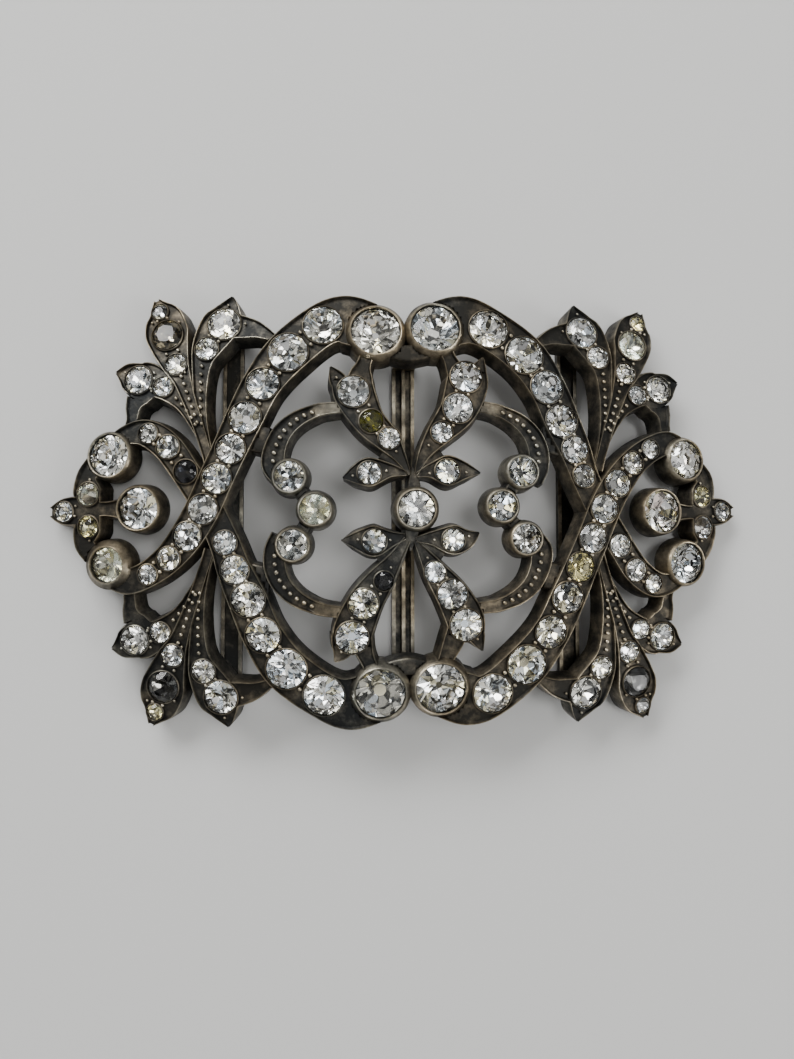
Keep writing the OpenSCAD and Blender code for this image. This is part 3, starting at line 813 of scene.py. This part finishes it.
# Looks of the stones: colour of the glass, colour and roughness of the foil
CLEAR, YELLOW, GREY, OLIVE, BLACK, MILKY, DARK = range(7)
TINTS = {
    CLEAR: ((1.0, 1.0, 1.0), (0.97, 0.97, 0.97), 0.06),
    YELLOW: ((0.97, 0.96, 0.86), (0.86, 0.82, 0.62), 0.08),
    GREY: ((0.84, 0.82, 0.76), (0.46, 0.43, 0.36), 0.05),
    OLIVE: ((0.80, 0.79, 0.50), (0.36, 0.35, 0.14), 0.10),
    BLACK: ((0.50, 0.50, 0.52), (0.11, 0.11, 0.12), 0.14),
    MILKY: ((0.97, 0.97, 0.93), (0.84, 0.84, 0.76), 0.12),
    DARK: ((0.74, 0.74, 0.74), (0.17, 0.17, 0.17), 0.08)}
GLASSES = [glass(f"paste_{look}", row[0]) for look, row in TINTS.items()]
FOILS = [foil(f"foil_{look}", row[1], row[2]) for look, row in TINTS.items()]


# Cut stones
def ring(count, radius, height, first):
    step = 2 * math.pi / count
    return [(radius * math.cos(first + k * step), radius * math.sin(first + k * step), height)
            for k in range(count)]


def brilliant(r, table, crown, depth, culet, low):
    """Vertices and faces of a brilliant cut, the faces of its crown first. The lower halves of
    its pavilion reach from the girdle in to the radius low."""
    eighth = math.pi / 4
    half = eighth / 2
    girdle = 0.03 * r
    knee = r * 0.5 + table * 0.5
    knee_z = crown * (r - knee * math.cos(half)) / (r - table)
    flat = culet * math.cos(half)
    low_z = -girdle - (depth - girdle) * (r - low * math.cos(half)) / (r - flat)
    places = (ring(8, table, crown, 0) + ring(8, knee, knee_z, half) + ring(16, r, 0, 0)
              + ring(16, r, -girdle, 0) + ring(8, low, low_z, half) + ring(8, culet, -depth, half))
    top, knees, upper, lower, lows, tip = 0, 8, 16, 32, 48, 56
    faces = [tuple(range(8))]
    for i in range(8):
        n, b = (i + 1) % 8, (i - 1) % 8
        faces += [(top + i, knees + i, top + n),
                  (top + i, knees + b, upper + 2 * i, knees + i),
                  (knees + i, upper + 2 * i, upper + 2 * i + 1),
                  (knees + i, upper + 2 * i + 1, upper + 2 * n)]
    for i in range(16):
        n = (i + 1) % 16
        faces.append((upper + i, lower + i, lower + n, upper + n))
    for i in range(8):
        n, b = (i + 1) % 8, (i - 1) % 8
        faces += [(lower + 2 * i, lows + b, tip + b, tip + i, lows + i),
                  (lower + 2 * i, lows + i, lower + 2 * i + 1),
                  (lower + 2 * i + 1, lows + i, lower + 2 * n)]
    faces.append(tuple(tip + i for i in reversed(range(8))))
    return places, faces


CROWN_FACES = 33
CROWN_PART = 0.3
DEPTH_PART = 0.79
TABLE_PARTS = (0.54, 0.62)
CULET_PARTS = (0.08, 0.14, 0.26)
LOW_PARTS = (0.38, 0.5, 0.72)
# Single stones above this radius are drawn as large as in the CAD
UNSPREAD = 2.2
# Tones that the foil of a facet may have, the second row for stones above the radius LARGE
SHADES = (1.0, 1.0, 0.95, 0.85, 0.55, 0.3)
LARGE_SHADES = (1.0, 1.0, 1.0, 0.95, 0.8, 0.5)
LARGE = 2.6
MILKY_SHADES = (1.0, 0.97, 0.92, 0.88, 0.8, 0.7)
DULL_SHADES = (2.6, 1.2, 0.8, 0.6, 0.4, 0.3)
# Hues that it may have, and those of two stones with coloured flecks
WHITE = (1, 1, 0.98)
CREAM = (1, 0.99, 0.94)
HUES = (WHITE, WHITE, WHITE, WHITE, WHITE, (1, 0.98, 0.9), (0.94, 0.98, 1), CREAM, CREAM,
        (1, 0.94, 0.7), (0.86, 0.93, 1))
FLECKS = (WHITE, WHITE, WHITE, (1, 0.94, 0.62), (1, 0.88, 0.84), CREAM)
FLECKED = ("right_inner_stone", "right_outer_upper_stone")


def shades_of(look, r):
    if look == MILKY:
        return MILKY_SHADES
    if look in (OLIVE, BLACK, DARK):
        return DULL_SHADES
    return LARGE_SHADES if r > LARGE else SHADES


def stone_piece(node, rows, odd):
    """The stones of one CAD node as one mesh, each turned its own way. Stones are clear, apart
    from the looks that odd gives by their places in the rows."""
    name = f"cut_{node}"
    dice = random.Random(name)
    looks = [odd.get(k, CLEAR) for k in range(len(rows))]
    used = sorted(set(looks))
    hues = FLECKS if node in FLECKED else HUES
    places, faces, slots, tones = [], [], [], []
    for (x, y, r, *_), look in zip(rows, looks):
        if len(rows) > 1 or r <= UNSPREAD:
            r *= STONE_SPREAD
        low = dice.choice(LOW_PARTS)
        culet = r * dice.choice(CULET_PARTS)
        table = r * dice.uniform(*TABLE_PARTS)
        cut, cut_faces = brilliant(r, table, CROWN_PART * r, DEPTH_PART * r, culet, low * r)
        stand = dome_matrix(x, y) @ Matrix.Rotation(dice.uniform(0, math.pi / 4), 4, "Z")
        shades = shades_of(look, r)
        start = len(places)
        places += [tuple(stand @ Vector(p) * MM) for p in cut]
        for k, face in enumerate(cut_faces):
            faces.append(tuple(start + i for i in face))
            is_foil = k >= CROWN_FACES
            slots.append(used.index(look) * 2 + is_foil)
            shade = dice.choice(shades) if is_foil else 1.0
            tones.append([shade * part for part in dice.choice(hues)] + [1.0])
    mesh = bpy.data.meshes.new(name)
    mesh.from_pydata(places, [], faces)
    mesh.validate()
    for look in used:
        mesh.materials.append(GLASSES[look])
        mesh.materials.append(FOILS[look])
    mesh.polygons.foreach_set("material_index", slots)
    mark = mesh.attributes.new("tone", "FLOAT_COLOR", "FACE")
    mark.data.foreach_set("color", np.array(tones, np.float32).ravel())
    made = bpy.data.objects.new(name, mesh)
    bpy.context.scene.collection.objects.link(made)
    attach(made, "root")
    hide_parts(node)


# The looks of the stones that aren't clear, by node
SINGLE_LOOKS = {
    "left_outer_lower_stone": MILKY, "left_scroll_middle_stone": MILKY,
    "upper_left_leaf_middle_stone": OLIVE, "lower_left_leaf_inner_stone": BLACK}
SPRAY_LOOKS = {
    "upper_left": {3: GREY}, "upper_right": {3: MILKY, 2: YELLOW},
    "lower_left": {3: DARK, 2: YELLOW}, "lower_right": {3: DARK}}


def single_stone(node, row):
    stone_piece(node, [row], {0: SINGLE_LOOKS.get(node, CLEAR)})


single_stone("centre_stone", CENTRE_BEZEL)
for name, bezel in zip(LEFT_BEZEL_NAMES, LEFT_BEZELS):
    single_stone(f"left_{name}_stone", bezel)
for name, bezel in zip(RIGHT_BEZEL_NAMES, RIGHT_BEZELS):
    single_stone(f"right_{name}_stone", bezel)
for corner, leaf, small in zip(CORNERS, BIG_LEAVES, SMALL_LEAVES):
    for name, stone in zip(LEAF_STONE_NAMES, leaf[3]):
        single_stone(f"{corner}_leaf_{name}_stone", stone)
    single_stone(f"{corner}_small_leaf_stone", small[1])
stone_piece("left_over_band_stones", OVER_STONES, {})
stone_piece("left_under_band_stones", UNDER_STONES, {6: BLACK})
stone_piece("right_over_band_stones", turned(OVER_STONES), {4: YELLOW})
stone_piece("right_under_band_stones", turned(UNDER_STONES), {})
stone_piece("left_trefoil_stones", TREFOIL_STONES, {1: MILKY, 2: YELLOW})
stone_piece("right_trefoil_stones", turned(TREFOIL_STONES), {2: YELLOW})
for corner, (sx, sy) in zip(CORNERS, SIGNS):
    stone_piece(f"{corner}_spray_stones", cornered(SPRAY_STONES, sx, sy), SPRAY_LOOKS[corner])

# The metal pieces
CASTING_SHARP = 38
SMALL_SHARP = 50
EDGE_ROUNDING = 0.12
body = openwork.build("openwork_casting", silver, CASTING_SHARP)
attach(body, "root")
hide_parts("frame")
for shape, name in ((cups, "round_bezels"), (seat_rings, "seat_rings"), (grains, "grain_beads")):
    made = shape.build(name, silver, SMALL_SHARP)
    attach(made, "root")
# Each bar's metal is painted lighter on top than down its walls, a painted highlight
for name, metal_with_painted_highlight in (("left_bar", side_metal), ("right_bar", side_metal), ("centre_bar", centre_metal)):
    bar = nodes[name]
    bar.data.materials.clear()
    bar.data.materials.append(metal_with_painted_highlight)
    soften = bar.modifiers.new("soft_edges", "BEVEL")
    soften.width = EDGE_ROUNDING * MM
    soften.segments = 2

# The floor, in metres, just below the bars
FLOOR_SIZE = 1.6
FLOOR_PLACE = (0, 0, -0.00005)
bpy.ops.mesh.primitive_plane_add(size=FLOOR_SIZE, location=FLOOR_PLACE)
floor = bpy.context.object
floor.name = "studio_floor"
paper, _, shader = new_material("pale_floor")
socket(shader, "Base Color", (0.56, 0.56, 0.55, 1))
socket(shader, "Roughness", 0.9)
floor.data.materials.append(paper)

# The sky: bright and dark patches overhead, for the stones to mirror, and a plain horizon
SKY_PATCHES = [(0.45, (0.09, 0.09, 0.09)), (0.52, (1.5, 1.49, 1.45))]
OVERHEAD = (0.38, 0.5)
HORIZON = (0.8, 0.8, 0.8, 1)
world = bpy.data.worlds.new("studio")
bpy.context.scene.world = world
world.use_nodes = True
tree = world.node_tree
sky = tree.nodes["Background"]
socket(sky, "Strength", 0.62)
direction = tree.nodes.new("ShaderNodeTexCoord").outputs["Generated"]
blend = colour_mix(tree, "MIX")
overhead = mapped(tree, height_of(tree, direction), OVERHEAD, (0.0, 1.0))
tree.links.new(overhead, blend.inputs[MIX_SHARE])
blend.inputs[MIX_FIRST].default_value = HORIZON
patches = ramp(tree, noise(tree, direction, scale=5.2, detail=1.0), SKY_PATCHES)
tree.links.new(patches, blend.inputs[MIX_SECOND])
tree.links.new(blend.outputs[MIX_RESULT], sky.inputs["Color"])


def softbox(name, place, size, power):
    """A rectangular lamp that faces the buckle: place and size in metres, power in watts."""
    lamp = bpy.data.lights.new(name, "AREA")
    lamp.shape = "RECTANGLE"
    lamp.size, lamp.size_y = size
    lamp.energy = power
    made = bpy.data.objects.new(name, lamp)
    made.location = place
    made.rotation_euler = (-Vector(place)).to_track_quat("-Z", "Y").to_euler()
    bpy.context.scene.collection.objects.link(made)


softbox("window", (-0.34, 0.52, 0.40), (0.6, 0.3), 7.6)
softbox("ceiling", (0.15, 0.05, 0.7), (0.3, 0.2), 1.2)
softbox("side_fill", (0.5, -0.2, 0.3), (0.2, 0.4), 1.6)

# The camera stands where the photograph was taken from. FOCAL is in pixels of a frame whose long
# side has LONG_SIDE of them. TURN is how the buckle is turned before it, and SHIFT its place.
FOCAL = 887.0
LONG_SIDE = 1059.0
SENSOR = 36
TURN = (math.radians(-2.9), math.radians(5.07), math.radians(-0.22))
SHIFT = (1.70, 2.94, 118.0)
view = Matrix.Rotation(TURN[2], 3, "Z") @ Matrix.Rotation(TURN[1], 3, "Y")
view = (view @ Matrix.Rotation(TURN[0], 3, "X")).transposed()
place = view @ Vector((-SHIFT[0], -SHIFT[1], SHIFT[2])) + Vector((0, 0, DOME_HEIGHT))
lens = bpy.data.cameras.new("photo_camera")
lens.sensor_width = SENSOR
lens.lens = FOCAL * SENSOR / LONG_SIDE
lens.clip_start = 0.005
lens.clip_end = 10
camera = bpy.data.objects.new("photo_camera", lens)
camera.matrix_world = Matrix.Translation(place * MM) @ view.to_4x4()
bpy.context.scene.collection.objects.link(camera)
bpy.context.scene.camera = camera
